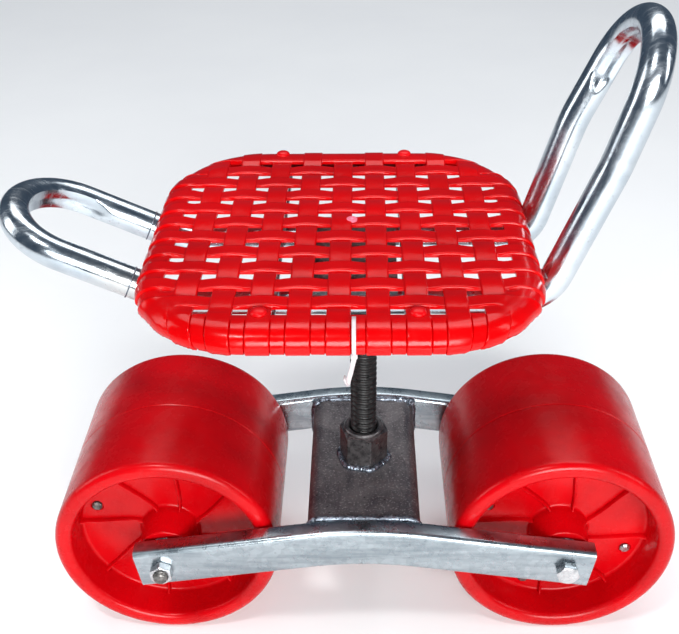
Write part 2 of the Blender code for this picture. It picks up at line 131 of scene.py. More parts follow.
# Tube frame
TUBE_R = 12.5
LEG_Y = 48
LEG_Z = 343
FRONT_BEND_X = -150
FRONT_TILT = radians(25)
FRONT_X = -280
JOINT_X = -184
BACK_BEND_X = 140.4
BACK_TILT = radians(70.75)
BACK_X = 212
KINK_R = 34
NEAR_LEG_BOW = 6
FAR_LEG_BOW = -8
LEG_BOW_R = 160
NEAR_BEND_OUT = 3
FRONT_BEND_R = 70

# Woven seat
CROSS_REACH = 135
SEAT_X = -18
RIM_HX = 144.5
RIM_HY = 148
RIM_CORNER = 78
FLAT_X, FLAT_Y = RIM_HX - RIM_CORNER, RIM_HY - RIM_CORNER
COL_PITCH = 28.3
COL_HALF = 8.7
COL_LAST = 4
ROW_PITCH = 25.2
ROW_HALF = 7.4
ROW_FIRST, ROW_LAST = -5, 4
WEAVE_Z = 380.4
WEAVE_MID = 1.2
WEAVE_SWING = 1.2
STRIP_EDGE_R = 1.6
SHELL_T = 1.9
STUD_R = 6.2
STUD_RISE = 3.1
RIM_START = -14
RIM_PROFILE = [(-14, 380.4), (-7, 380.4), (-2, 379.9), (3.2, 378.2), (6.9, 375.3)]
RIM_PROFILE += [(9, 371.4), (9.5, 368), (9, 365.6), (7.4, 364.7)]

# ---- materials


class Look:
    """A Principled material and short ways to add the nodes of its detail."""

    def __init__(self, name, colour, metallic, rough, **constants):
        self.material = bpy.data.materials.new(name)
        self.material.use_nodes = True
        tree = self.material.node_tree
        self.nodes = tree.nodes
        self.links = tree.links
        self.shader = self.nodes["Principled BSDF"]
        self.put("Base Color", (*colour, 1))
        self.put("Metallic", metallic)
        self.put("Roughness", rough)
        for key, value in constants.items():
            self.put(key.replace("_", " "), value)
        self.spot = self.add("TexCoord").outputs["Object"]

    def put(self, socket, value):
        self.fill(self.shader.inputs[socket], value)

    def paint(self, colour):
        self.put("Base Color", colour)

    def fill(self, socket, value):
        if isinstance(value, bpy.types.NodeSocket):
            self.links.new(value, socket)
        else:
            socket.default_value = value

    def add(self, kind, sockets=(), **settings):
        node = self.nodes.new("ShaderNode" + kind)
        for key, value in settings.items():
            setattr(node, key, value)
        for key, value in dict(sockets).items():
            self.fill(node.inputs[key], value)
        return node

    def stretched(self, scale, turn=(0, 0, 0)):
        sockets = {"Vector": self.spot, "Scale": scale, "Rotation": turn}
        return self.add("Mapping", sockets).outputs[0]

    def grain(self, scale, detail=4, rough=0.55, warp=0, at=None):
        sockets = {"Vector": at or self.spot, "Scale": scale, "Detail": detail, "Roughness": rough}
        return self.add("TexNoise", sockets | {"Distortion": warp}).outputs[0]

    def cells(self, scale, at=None, **settings):
        sockets = {"Vector": at or self.spot, "Scale": scale}
        return self.add("TexVoronoi", sockets, **settings)

    def ramp(self, value, *stops):
        """Each stop is (place, colour or grey)."""
        node = self.add("ValToRGB", {"Fac": value})
        elements = node.color_ramp.elements
        while len(elements) < len(stops):
            elements.new(0.5)
        for element, (place_at, colour) in zip(elements, stops):
            element.position = place_at
            grey = isinstance(colour, (int, float))
            element.color = (colour, colour, colour, 1) if grey else (*colour, 1)
        return node.outputs[0]

    def mix(self, factor, a, b, mode="MIX"):
        node = self.add("Mix", {0: factor}, data_type="RGBA", blend_type=mode)
        for index, value in ((6, a), (7, b)):
            fixed = isinstance(value, tuple)
            self.fill(node.inputs[index], (*value, 1) if fixed else value)
        return node.outputs[2]

    def spread(self, value, low, high, start=0, end=1):
        """Map start..end of a value onto low..high."""
        names = {"Value": value, "From Min": start, "From Max": end, "To Min": low, "To Max": high}
        return self.add("MapRange", names).outputs[0]

    def two_tone(self, value, dark, light, start=0.3, end=0.7):
        return self.mix(self.spread(value, 0, 1, start, end), dark, light)

    def patches(self, tone, value, start, end, weight, colour):
        """A tone with a colour laid over it where a value rises past start..end."""
        return self.mix(self.ramp(value, (start, 0), (end, weight)), tone, colour)

    def gloss(self, value, low, high, end=0.7):
        self.put("Roughness", self.spread(value, low, high, 0.3, end))

    def normal(self, *layers):
        """Each layer is (height, strength, distance), the lowest first."""
        for height, strength, distance in layers:
            sockets = {"Height": height, "Strength": strength, "Distance": distance}
            if self.shader.inputs["Normal"].is_linked:
                sockets["Normal"] = self.shader.inputs["Normal"].links[0].from_socket
            self.put("Normal", self.add("Bump", sockets).outputs[0])


def plastic_look(name, colour, deep, rough, scuffs):
    """Moulded plastic: slight colour drift, orange peel, fine scratches and dust."""
    look = Look(name, colour, 0, rough, Specular_IOR_Level=0.2)
    tone = look.two_tone(look.grain(14, 3), colour, deep, 0.32, 0.68)
    lines = look.grain(30, 8, 0.7, 1.5, look.stretched((2, 22, 9), (0.3, 0.5, 0.4)))
    marks = look.ramp(lines, (0.6, 0), (0.68, scuffs))
    dust = look.ramp(look.grain(420, 2), (0.7, 0), (0.76, scuffs))
    pale = tuple(0.7 * c + 0.3 * 0.45 for c in colour)
    look.paint(look.mix(look.mix(1, marks, dust, "LIGHTEN"), tone, pale))
    look.gloss(look.grain(55, 5, 0.6), rough - 0.06, rough + 0.12, 0.75)
    look.normal((look.grain(620, 2), 0.1, 0.0004), (look.grain(70, 2), 0.1, 0.0012))
    return look.material


def tube_look():
    """Bright galvanised tube with soft blotches, heat tints and fine rubbing marks."""
    look = Look("galvanised_tube", (0.62, 0.65, 0.68), 1, 0.25)
    blotch = look.grain(22, 5, 0.6, 0.4)
    tint = look.two_tone(blotch, (0.44, 0.5, 0.55), (0.64, 0.69, 0.73), 0.35, 0.65)
    tint = look.patches(tint, look.grain(9, 3), 0.54, 0.7, 0.55, (0.5, 0.47, 0.43))
    specks = look.grain(330, 3)
    look.paint(look.patches(tint, specks, 0.62, 0.7, 0.5, (0.3, 0.32, 0.36)))
    look.gloss(look.grain(60, 6, 0.65, 0, look.stretched((1, 5, 1))), 0.12, 0.32)
    look.normal((look.grain(900, 2), 0.06, 0.0002), (look.grain(85, 3), 0.1, 0.001))
    return look.material


def bar_look():
    """Galvanised rectangular tube: pale zinc with spangle, scuffed and mottled faces."""
    look = Look("galvanised_bar", (0.66, 0.68, 0.7), 1, 0.3)
    flakes = look.cells(210, feature="F1").outputs["Color"]
    grey = look.add("RGBToBW", {"Color": flakes}).outputs[0]
    tone = look.two_tone(grey, (0.34, 0.39, 0.42), (0.46, 0.52, 0.55), 0, 1)
    streak = look.grain(18, 7, 0.7, 0.6, look.stretched((1, 3, 4)))
    tone = look.patches(tone, streak, 0.54, 0.72, 0.5, (0.24, 0.28, 0.32))
    drawn = look.grain(30, 5, 0.6, 0.2, look.stretched((0.22, 1, 2.4)))
    tone = look.patches(tone, drawn, 0.46, 0.62, 0.65, (0.2, 0.24, 0.27))
    pits = look.grain(260, 4, 0.7)
    look.paint(look.patches(tone, pits, 0.62, 0.7, 0.45, (0.13, 0.14, 0.16)))
    look.gloss(look.grain(48, 6, 0.7), 0.2, 0.38)
    look.normal((look.grain(480, 4), 0.12, 0.0002), (look.grain(34, 3), 0.1, 0.0012))
    return look.material


def mill_look():
    """Hot-rolled steel: brown-grey scale with pale speckle, dark spatter and run marks."""
    look = Look("mill_scale", (0.15, 0.13, 0.13), 0.55, 0.42)
    cloud = look.grain(26, 6, 0.65, 0.5)
    tone = look.two_tone(cloud, (0.062, 0.056, 0.062), (0.19, 0.175, 0.178))
    runs = look.grain(34, 5, 0.6, 0.3, look.stretched((3.4, 0.7, 3.4)))
    tone = look.patches(tone, runs, 0.5, 0.7, 0.7, (0.055, 0.05, 0.06))
    tone = look.patches(tone, look.grain(520, 3, 0.6), 0.56, 0.66, 0.65, (0.36, 0.34, 0.34))
    dots = look.ramp(look.cells(95).outputs["Distance"], (0.05, 0.9), (0.1, 0))
    look.paint(look.mix(dots, tone, (0.02, 0.018, 0.02)))
    look.gloss(look.grain(70, 5), 0.28, 0.6)
    look.normal((look.grain(650, 4, 0.7), 0.3, 0.0003), (cloud, 0.12, 0.001))
    return look.material


def metal_look(name, low, high, rough, metallic=1, scale=120, strength=0.15, shine=0.5):
    """Small steel pieces: two tones in fine noise, uneven gloss and a slight grain."""
    look = Look(name, high, metallic, rough, Specular_IOR_Level=shine)
    cloud = look.grain(scale, 5, 0.65, 0.3)
    look.paint(look.two_tone(cloud, low, high, 0.32, 0.68))
    look.gloss(look.grain(scale * 1.7, 4), rough * 0.65, rough * 1.5)
    look.normal((look.grain(scale * 6, 3), strength, 0.0003))
    return look.material


def nylon_look():
    look = Look("tie_nylon", (0.84, 0.83, 0.8), 0, 0.42, Subsurface_Weight=0.12)
    look.put("Subsurface Radius", (0.002,) * 3)
    drift = look.grain(90, 3)
    # Painted shade: the white nylon is darkened to these brownish greys all over the tie; the noise only
    # drifts the tone at random.
    look.paint(look.two_tone(drift, (0.44, 0.38, 0.39), (0.56, 0.51, 0.52)))
    look.normal((look.grain(800, 2), 0.1, 0.0003))
    return look.material


def floor_look():
    look = Look("pale_floor", (0.93,) * 3, 0, 0.65)
    drift = look.grain(3, 4)
    look.paint(look.two_tone(drift, (0.92,) * 3, (0.95, 0.95, 0.945)))
    look.normal((look.grain(220, 3), 0.04, 0.0005))
    return look.material


LOOKS = {
    "seat_red": plastic_look("seat_plastic", (0.56, 0.0004, 0.0012), (0.43, 0.0003, 0.0008), 0.15, 0.05),
    "stud_red": plastic_look("stud_plastic", (0.62, 0.001, 0.004), (0.5, 0.001, 0.003), 0.24, 0.06),
    "gate_pink": plastic_look("gate_plastic", (0.86, 0.22, 0.3), (0.74, 0.12, 0.2), 0.35, 0.05),
    "wheel_red": plastic_look("roller_plastic", (0.5, 0.0004, 0.003), (0.36, 0.0003, 0.002), 0.24, 0.06),
    "tube": tube_look(),
    "bar": bar_look(),
    "mill_steel": mill_look(),
    "nut_steel": metal_look("nut_steel", (0.045, 0.042, 0.045), (0.19, 0.18, 0.18), 0.36, 0.85, 160, 0.45),
    "weld": metal_look("weld_bead", (0.045, 0.05, 0.065), (0.32, 0.37, 0.43), 0.34, 0.95, 190, 0.5),
    "black_steel": metal_look("screw_black", (0.003,) * 3, (0.014, 0.013, 0.013), 0.36, 0, 130, 0.25, 0.28),
    "zinc": metal_look("zinc_plate", (0.44, 0.45, 0.46), (0.72, 0.73, 0.74), 0.3, 1, 150, 0.3),
    # Darker zinc for the bolt threads; on the wheel screws this darkness is painted shade inside their web
    # holes.
    "dark_zinc": metal_look("bolt_end", (0.06, 0.055, 0.05), (0.26, 0.25, 0.24), 0.45, 0.9, 260, 0.5),
    "bearing_steel": metal_look("bearing_steel", (0.42, 0.42, 0.44), (0.62, 0.62, 0.64), 0.22),
    # The tie look paints shade into the white nylon's colour.
    "tie_white": nylon_look(),
}

SLOT_OF = {"tube": "galvanised", "bar": "galvanised", "nut_steel": "mill_steel", "weld": "mill_steel"}
SLOT_OF |= {"dark_zinc": "zinc", "gate_pink": "seat_red"}

# ---- mesh helpers


def tidied(mesh, weld=0):
    """Turn every face outwards, after joining points nearer than a distance."""
    bm = bmesh.new()
    bm.from_mesh(mesh)
    if weld:
        bmesh.ops.remove_doubles(bm, verts=bm.verts, dist=weld)
    bmesh.ops.recalc_face_normals(bm, faces=bm.faces)
    bm.to_mesh(mesh)
    bm.free()


def smoothed(mesh, crease=32):
    mesh.shade_smooth()
    mesh.set_sharp_from_angle(angle=radians(crease))


def linked(name, data):
    obj = bpy.data.objects.new(name, data)
    bpy.context.scene.collection.objects.link(obj)
    return obj


def loose(name, points, faces):
    """A bare object from points in millimetres, which belongs to no body."""
    mesh = bpy.data.meshes.new(name)
    mesh.from_pydata([((x + AXIS_X) * MM, y * MM, z * MM) for x, y, z in points], [], faces)
    tidied(mesh)
    return linked(name, mesh)


def place(name, points, faces, look, body, cad=(), crease=32):
    """One piece, riding on a body and standing for CAD nodes."""
    obj = loose(name, points, faces)
    smoothed(obj.data, crease)
    obj.data.materials.append(LOOKS[look])
    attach(obj, body)
    if cad:
        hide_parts(*cad)
    return obj


def settled(obj, crease=32):
    """Apply the piece's modifiers, so that its own mesh is the final one."""
    graph = bpy.context.evaluated_depsgraph_get()
    final = bpy.data.meshes.new_from_object(obj.evaluated_get(graph))
    old = obj.data
    obj.modifiers.clear()
    obj.data = final
    bpy.data.meshes.remove(old)
    smoothed(final, crease)
    return obj


def cut(obj, name, rings, centre, axis, segs):
    """Cut a turned shape out of a piece."""
    tool = lathe(name, rings, centre, None, None, axis, segs)
    step = obj.modifiers.new(name, "BOOLEAN")
    step.solver = "EXACT"
    step.object = tool
    settled(obj)
    bpy.data.objects.remove(tool, do_unlink=True)


def blend(a, b, t):
    return a + (b - a) * t


def circle(segs):
    """Angles of a full turn."""
    return [2 * pi * k / segs for k in range(segs)]


def turned(centre, axis, height, radius, angle):
    """A point at a height along an axis, and at a radius and an angle round it."""
    x, y, z = centre
    across, up = radius * sin(angle), radius * cos(angle)
    if axis == "Y":
        return (x + across, y + height, z + up)
    if axis == "X":
        return (x + height, y + across, z + up)
    return (x + across, y + up, z + height)


def wave_at(*place_at):
    return noise.noise(Vector(place_at))


def lathe(name, profile, centre, look, body, axis="Y", segs=96, cad=()):
    """Turn (radius, height) points about an axis, closed at its poles or on itself."""
    poles = profile[0][0] == 0 and profile[-1][0] == 0
    points = []
    rings = []
    for radius, height in profile:
        count = 1 if radius == 0 else segs
        rings.append((len(points), count))
        points += [turned(centre, axis, height, radius, angle) for angle in circle(segs)[:count]]
    faces = []
    pairs = list(zip(rings, rings[1:]))
    if not poles:
        pairs.append((rings[-1], rings[0]))
    for (a, na), (b, nb) in pairs:
        for k in range(segs):
            n = (k + 1) % segs
            if na == 1:
                faces.append((a, b + k, b + n))
            elif nb == 1:
                faces.append((a + k, b, a + n))
            else:
                faces.append((a + k, b + k, b + n, a + n))
    if look is None:
        return loose(name, points, faces)
    return place(name, points, faces, look, body, cad)


def rod(radius, low, high):
    """Profile of a plain rod."""
    return [(0, low), (radius, low), (radius, high), (0, high)]


def skin(start, count, steps):
    """Faces between rows of points that follow each other, each row a closed loop."""
    faces = []
    for row in range(steps):
        for k in range(count):
            a, b = start + row * count + k, start + row * count + (k + 1) % count
            faces.append((a, b, b + count, a + count))
    return faces


def rounded_path(corners, radii, steps=8):
    """Corners joined by arcs. A radius of 0 leaves its corner sharp."""
    path = [corners[0]]
    for k in range(1, len(corners) - 1):
        here = corners[k]
        radius = radii[k - 1]
        if radius == 0:
            path.append(here)
            continue
        back = (corners[k - 1] - here).normalized()
        ahead = (corners[k + 1] - here).normalized()
        half = back.angle(ahead) / 2
        reach = radius / tan(half)
        hub = here + (back + ahead).normalized() * radius / sin(half)
        arm = here + back * reach - hub
        turn = arm.cross(here + ahead * reach - hub).normalized()
        for n in range(steps + 1):
            path.append(hub + Matrix.Rotation((pi - 2 * half) * n / steps, 3, turn) @ arm)
    path.append(corners[-1])
    return path


def rounded_profile(corners, steps=6):
    """(radius, height, fillet) corners as a smooth (radius, height) profile."""
    flat = [Vector((r, h, 0)) for r, h, _ in corners]
    path = rounded_path(flat, [f for _, _, f in corners[1:-1]], steps)
    return [(p.x, p.y) for p in path]


def evenly(path, step):
    """The same path with points at most one step apart."""
    out = [path[0]]
    for a, b in zip(path, path[1:]):
        parts = max(1, ceil((b - a).length / step))
        out += [a.lerp(b, n / parts) for n in range(1, parts + 1) if (b - a).length > 1e-6]
    return out


def carried(path, side, closed=False):
    """(point, side, up, length so far) along a path, the side vector carried along."""
    frames = []
    run = 0
    for k, point in enumerate(path):
        if closed:
            tangent = (path[(k + 1) % len(path)] - path[k - 1]).normalized()
        else:
            tangent = (path[min(k + 1, len(path) - 1)] - path[max(k - 1, 0)]).normalized()
        side = (side - tangent * side.dot(tangent)).normalized()
        run += (point - path[k - 1]).length if k else 0
        frames.append((point, side, tangent.cross(side), run))
    return frames


def sweep(name, path, section, look, body, side, bore=None, cad=(), closed=False):
    """Sweep section(length so far) along a path. A bore section makes it hollow."""
    frames = carried(path, side, closed)
    points = []
    for point, across, up, run in frames:
        loops = [section(run)] + ([bore] if bore else [])
        for loop in loops:
            points += [point + across * a + up * b for a, b in loop]
    count = len(section(0))
    stride = count * (2 if bore else 1)
    faces = []
    last = len(frames) if closed else len(frames) - 1
    for k in range(last):
        for n in range(2 if bore else 1):
            for i in range(count):
                a = k * stride + n * count + i
                b = k * stride + n * count + (i + 1) % count
                c = (k + 1) % len(frames) * stride + n * count
                faces.append((a, b, c + (i + 1) % count, c + i))
    if not closed:
        for start in (0, last * stride):
            if bore:
                for i in range(count):
                    j = (i + 1) % count
                    faces.append((start + i, start + j, start + count + j, start + count + i))
            else:
                faces.append(tuple(range(start, start + count)))
    return place(name, points, faces, look, body, cad)


def rounded_section(width, height, corner, steps=6):
    out = []
    for sx, sy, start in ((1, 1, 0), (-1, 1, 90), (-1, -1, 180), (1, -1, 270)):
        for k in range(steps + 1):
            angle = radians(start + 90 * k / steps)
            x = sx * (width / 2 - corner) + corner * cos(angle)
            out.append((x, sy * (height / 2 - corner) + corner * sin(angle)))
    return out


def slab(name, low, high, look, body, bevel=0.8, cad=()):
    """A flat bar or block with rounded edges."""
    pairs = list(zip(low, high))
    points = [(x, y, z) for x in pairs[0] for y in pairs[1] for z in pairs[2]]
    faces = [(0, 1, 3, 2), (4, 6, 7, 5), (0, 4, 5, 1), (2, 3, 7, 6), (0, 2, 6, 4), (1, 5, 7, 3)]
    obj = place(name, points, faces, look, body, cad)
    edge = obj.modifiers.new("rounded", "BEVEL")
    edge.width = bevel * MM
    edge.segments = 3
    return settled(obj, 40)


def hexagon(name, flats, low, high, centre, axis, turn, look, body, bore=0, foot=0, cad=()):
    """A hexagon whose end at high is turned to a cone, and at low too where foot is 1."""
    segs = 144
    face_r = flats / 2 * 0.96
    sign = 1 if high > low else -1
    rows = []
    for angle in circle(segs):
        off = (angle + pi / 6) % (pi / 3) - pi / 6
        radius = min(flats / 2 / cos(off), flats / sqrt(3) * 0.985)
        drop = (radius - face_r) * tan(radians(30))
        row = [(bore, low), (face_r if foot else radius, low), (radius, low + sign * drop * foot)]
        row += [(radius, high - sign * drop), (face_r, high), (bore + 1 if bore else 0, high)]
        if bore:
            row.append((bore, high - sign))
        rows.append((angle + turn, row))
    points = []
    for angle, row in rows:
        points += [turned(centre, axis, height, radius, angle) for radius, height in row]
    stride = len(rows[0][1])
    faces = []
    for k in range(segs):
        n = (k + 1) % segs
        for i in range(stride if bore else stride - 1):
            j = (i + 1) % stride
            faces.append((k * stride + i, n * stride + i, n * stride + j, k * stride + j))
    obj = place(name, points, faces, look, body, cad, 24)
    tidied(obj.data, 1e-6)
    return obj


def threaded(name, outer, root, pitch, low, high, centre, axis, look, body, cad=(), segs=40):
    """A rod with a real helical thread and a chamfer at both ends."""
    rows = max(2, round((high - low) / pitch * 10))
    points = []
    for row in range(rows + 1):
        height = low + (high - low) * row / rows
        taper = root - 0.6 + min(height - low, high - height) * 1.3
        for k, angle in enumerate(circle(segs)):
            phase = height / pitch - k / segs
            crest = (0.5 - 0.5 * cos(2 * pi * phase)) ** 0.7
            radius = min(root + (outer - root) * crest, max(taper, root - 0.6))
            points.append(turned(centre, axis, height, radius, angle))
    faces = [tuple(range(segs)), tuple(rows * segs + k for k in range(segs))] + skin(0, segs, rows)
    return place(name, points, faces, look, body, cad, 70)


def weld_bead(name, path, radius, body, seed, flat=0.8, closed=True):
    """A rippled, slightly uneven bead of weld along a path."""
    chance = random.Random(seed)
    shift = chance.uniform(0, 50)
    ripple = radius * 0.95

    def section(run):
        swell = 1 + 0.22 * wave_at(run / 6 + shift, seed, 0)
        swell += 0.14 * abs(sin(pi * run / ripple)) - 0.07
        out = []
        for angle in circle(12):
            x, y = cos(angle), sin(angle)
            lump = 1 + 0.16 * wave_at(run / 2.5 + shift, x * 1.3, y * 1.3)
            out.append((radius * swell * lump * x, radius * flat * swell * lump * y))
        return out

    points = evenly(path + ([path[0]] if closed else []), radius * 0.3)
    if closed:
        points = points[:-1]
    side = (points[1] - points[0]).normalized().orthogonal()
    return sweep(name, points, section, "weld", body, side, closed=closed)


# ---- rollers


def roller_profile(side):
    """Section of one moulded half, with its rolled rim, dished web and hub."""
    corners = [(99.4, 0.15, 0), (WHEEL_R, 0.9, 0), (WHEEL_R, WHEEL_HALF, 7.5), (84.6, WHEEL_HALF, 6.5)]
    corners += [(81.6, WEB_Y, 3), (27.2, WEB_Y + 0.8, 3), (23, 84.6, 1.6), (16.2, 84.6, 0.6)]
    corners += [(16.2, 73.9, 0), (12.6, 73.9, 0), (12.6, 0.15, 0), (20, 0.15, 0), (20, 50.5, 0)]
    corners += [(79.6, 49.5, 0), (85.4, 56, 0), (89, 79, 0), (95.8, 77, 0), (95.8, 0.15, 0)]
    return [(r, side * h) for r, h in rounded_profile(corners)]


def rib_mesh(hub, side):
    """Curved ribs with rounded crests, from the hub out to the rim."""
    inner_r, outer_r, steps = 22, 83.2, 18
    flank = [(2, -1.2), (1.45, 2.6), (1.15, 3.9), (0.5, 4.6)]
    section = [(-x, up) for x, up in flank] + flank[::-1]
    points = []
    faces = []
    for rib in range(RIB_COUNT):
        base = rib * 2 * pi / RIB_COUNT + 0.12
        start = len(points)
        for n in range(steps + 1):
            t = n / steps
            radius = inner_r + (outer_r - inner_r) * t
            angle = base + RIB_SWIRL * (1 - t) ** 2
            rise = 1 + 0.5 * max(0, 1 - abs(t - 1) * 9) + 0.8 * max(0, 1 - t * 7)
            for across, up in section:
                turn = angle + across / radius
                height = side * (WEB_Y + up * (rise if up > 0 else 1))
                points.append(turned(hub, "Y", height, radius, turn))
        count = len(section)
        faces += skin(start, count, steps)
        faces.append(tuple(range(start, start + count)))
        faces.append(tuple(start + steps * count + i for i in range(count)))
    return points, faces


def build_roller(end, centre_x):
    """Two moulded halves with ribs and web holes, and the bearings and washers of the hub."""
    body = f"{end}_wheel"
    hub = (centre_x, 0, WHEEL_Z)
    for hand, s in HANDS:
        name, node = f"{end}_roller_{hand}", f"{end}_wheel_half_{hand}"
        half = lathe(name, roller_profile(s), hub, "wheel_red", body, segs=128, cad=[node])
        sunk = HOLE_R if s < 0 else 3.4
        hole = [(0, s * 40), (3.4, s * 40), (3.4, s * 51.9), (sunk, s * 51.9), (sunk, s * 53.2)]
        hole += [(sunk + 0.7, s * 54.2), (sunk + 0.7, s * 62), (0, s * 62)]
        for k in range(4):
            spot = turned(hub, "Y", 0, HOLE_PITCH_R, radians(22 + 90 * k))
            cut(half, "web_hole", hole, spot, "Y", 32)
        points, faces = rib_mesh(hub, s)
        place(f"{end}_roller_ribs_{hand}", points, faces, "wheel_red", body, crease=45)
        for part, inner, outer in (("outer", 12.4, 15.8), ("inner", 6.5, 9.4)):
            low, high, edge = s * 74.2, s * 84.4, s * 0.5
            ring = [(inner, low), (outer, low), (outer, high - edge), (outer - 0.5, high)]
            ring += [(inner + 0.5, high), (inner, high - edge)]
            node = f"{end}_bearing_{part}_{hand}"
            name = f"{node}_ring"
            lathe(name, ring, hub, "bearing_steel", body_of(node), segs=64, cad=[node])
        shield = [(9.6, s * 82.6), (12.2, s * 82.6), (12.2, s * 83.4), (9.6, s * 83.4)]
        lathe(f"{end}_bearing_shield_{hand}", shield, hub, "black_steel", body, segs=64)
        node = f"{end}_axle_washer_{hand}"
        low, high, edge = s * 84.8, s * (BAR_IN - 0.3), s * 0.4
        ring = [(6.5, low), (10.6, low), (11, low + edge), (11, high - edge), (10.6, high), (6.5, high)]
        lathe(f"{node}_disc", ring, hub, "zinc", body_of(node), segs=64, cad=[node])


def build_axle(end, centre_x, s):
    """Hexagon bolt whose head is at side s, with its nut and thread at the other side."""
    hub = (centre_x, 0, WHEEL_Z)
    face = BAR_IN + BAR_DEPTH + 0.3
    tip = abs(span(f"{end}_axle_bolt")[0 if s > 0 else 1].y)
    name = f"{end}_bolt_head"
    hexagon(name, BOLT_FLATS, s * face, s * (face + BOLT_HEAD), hub, "Y", 0.2, "zinc", "chassis")
    low, high = sorted((-s * (face - 14), -s * tip))
    name, bolt = f"{end}_bolt_thread", [f"{end}_axle_bolt"]
    threaded(name, BOLT_R, 5.2, 1.75, low, high, hub, "Y", "dark_zinc", "chassis", bolt)
    shank = rod(BOLT_R, s * (face + 1), -s * (face - 12))
    lathe(f"{end}_bolt_shank", shank, hub, "zinc", "chassis", segs=48)
    name, nut = f"{end}_bolt_nut", [f"{end}_axle_nut"]
    low, high = -s * face, -s * (face + AXLE_NUT_H)
    hexagon(name, BOLT_FLATS, low, high, hub, "Y", 0.45, "zinc", "chassis", BOLT_R, 1, nut)


for end_name, wheel_x, head_side in (("front", -WHEEL_X, 1), ("rear", WHEEL_X, -1)):
    build_roller(end_name, wheel_x)
    build_axle(end_name, wheel_x, head_side)

# ---- chassis


def bar_height(x):
    """Height of a bar's centreline: an arc in the middle, straight ends."""
    run = abs(x)
    tangent_x = BAR_BEND_R * BAR_SLOPE
    if run <= tangent_x:
        return BAR_TOP_Z - run * run / (2 * BAR_BEND_R)
    return BAR_TOP_Z - tangent_x * tangent_x / (2 * BAR_BEND_R) - BAR_SLOPE * (run - tangent_x)


def build_bar(hand, side):
    """Hollow bar with soft dents, more at the bend, and open ends."""
    mid = side * (BAR_IN + BAR_DEPTH / 2)
    stations = [-BAR_END_X + 2 * BAR_END_X * k / 120 for k in range(121)]
    line = [Vector((x, mid, bar_height(x))) for x in stations]
    outer = rounded_section(BAR_DEPTH, BAR_HEIGHT, BAR_CORNER)
    bore = rounded_section(BAR_DEPTH - 2 * BAR_WALL, BAR_HEIGHT - 2 * BAR_WALL, BAR_CORNER - BAR_WALL)

    def section(run):
        bend = exp(-(((run - BAR_END_X) / 45) ** 2))
        out = []
        for a, b in outer:
            wave = wave_at(run / 28, a / 9 + side, b / 14)
            squeeze = 1 - (0.012 + 0.03 * bend) * (0.5 + 0.5 * wave)
            out.append((a * squeeze, b * (1 + 0.004 * wave)))
        return out

    name = f"side_bar_{hand}"
    sweep(f"{name}_tube", line, section, "bar", "chassis", Vector((0, 1, 0)), bore, [name])


def build_base():
    """The short rectangular tube between the bars, welded round both ends."""
    width = BASE_HIGH.x - BASE_LOW.x
    height = BASE_HIGH.z - BASE_LOW.z
    mid_z = middle("base_tube")[2]
    reach = BASE_HIGH.y
    inset = 2 * BASE_WALL
    outer = rounded_section(width, height, BASE_CORNER, 10)
    bore = rounded_section(width - inset, height - inset, BASE_CORNER - BASE_WALL, 10)
    line = evenly([Vector((0, -reach, mid_z)), Vector((0, reach, mid_z))], 9)
    side = Vector((1, 0, 0))
    base = sweep("base_box_tube", line, lambda run: outer, "mill_steel", "chassis", side, bore, ["base_tube"])
    cut(base, "screw_hole", rod(SCREW_R + 0.5, 60, 160), (0, 0, 0), "Z", 64)
    seam = rounded_section(width + 1.8, height + 1.8, BASE_CORNER + 0.9, 5)
    for hand, y, seed in (("left", 1.2 - reach, 3), ("right", reach - 1.2, 4)):
        path = [Vector((a, y, mid_z + b)) for a, b in seam]
        weld_bead(f"base_weld_{hand}", path, 2.5, "chassis", seed)
    chance = random.Random(11)
    blobs = ((-47, 84.4, 4.2), (47.5, 84.2, 4.8), (-30, 85.4, 3.2), (36, 84.6, 3.4), (-44, -85, 2.6))
    for k, (x, y, size) in enumerate(blobs):
        centre = (x, y, BASE_HIGH.z - abs(x) / 50 * 1.6)
        lump(f"weld_blob_{k + 1}", centre, size, "chassis", chance.randint(0, 99))


def lump(name, centre, radius, body, seed):
    """A solidified drop of weld: an uneven ball set into the surface."""
    bm = bmesh.new()
    bmesh.ops.create_icosphere(bm, subdivisions=4, radius=radius)
    for vert in bm.verts:
        wave = noise.noise(vert.co / radius * 1.4 + Vector((seed, 0, 0)))
        vert.co *= 1 + 0.28 * wave
        vert.co.z *= 0.72
    points = [tuple(vert.co + Vector(centre)) for vert in bm.verts]
    faces = [tuple(vert.index for vert in face.verts) for face in bm.faces]
    bm.free()
    return place(name, points, faces, "weld", body, crease=60)


def build_nut():
    """Tall hexagon nut, turned at the top, welded round its foot."""
    top = NUT_TOP + NUT_RAISE
    centre, look, body = (0, 0, 0), "nut_steel", "chassis"
    bore, nut = SCREW_R + 0.6, ["lift_nut"]
    name, turn = "lift_nut_hex", NUT_TURN
    hexagon(name, NUT_FLATS, NUT_LOW, top - 2.2, centre, "Z", turn, look, body, bore, cad=nut)
    bore = SCREW_R + 0.5
    neck = [(bore, top - 6), (18.9, top - 6), (18.2, top - 1.1), (17.2, top), (14.2, top), (bore, top - 1.6)]
    lathe("lift_nut_neck", neck, centre, look, body, "Z", 96)
    corner = NUT_FLATS / sqrt(3)
    foot = []
    for angle in circle(90):
        off = (angle - NUT_TURN + pi / 6) % (pi / 3) - pi / 6
        radius = min(NUT_FLATS / 2 / cos(off), corner * 0.96) + 1
        foot.append(Vector((radius * sin(angle), radius * cos(angle), BASE_HIGH.z + 1)))
    weld_bead("nut_weld", foot, 3.1, "chassis", 21, 0.95)


for hand_name, hand_side in HANDS:
    build_bar(hand_name, hand_side)
build_base()
build_nut()
ends = [corner.z for corner in span("lift_screw")]
hub, body, screw = (0, 0, 0), "screw", ["lift_screw"]
name = "lift_screw_thread"
threaded(name, SCREW_R, SCREW_ROOT, SCREW_PITCH, *ends, hub, "Z", "black_steel", body, screw, 48)

# ---- tube frame


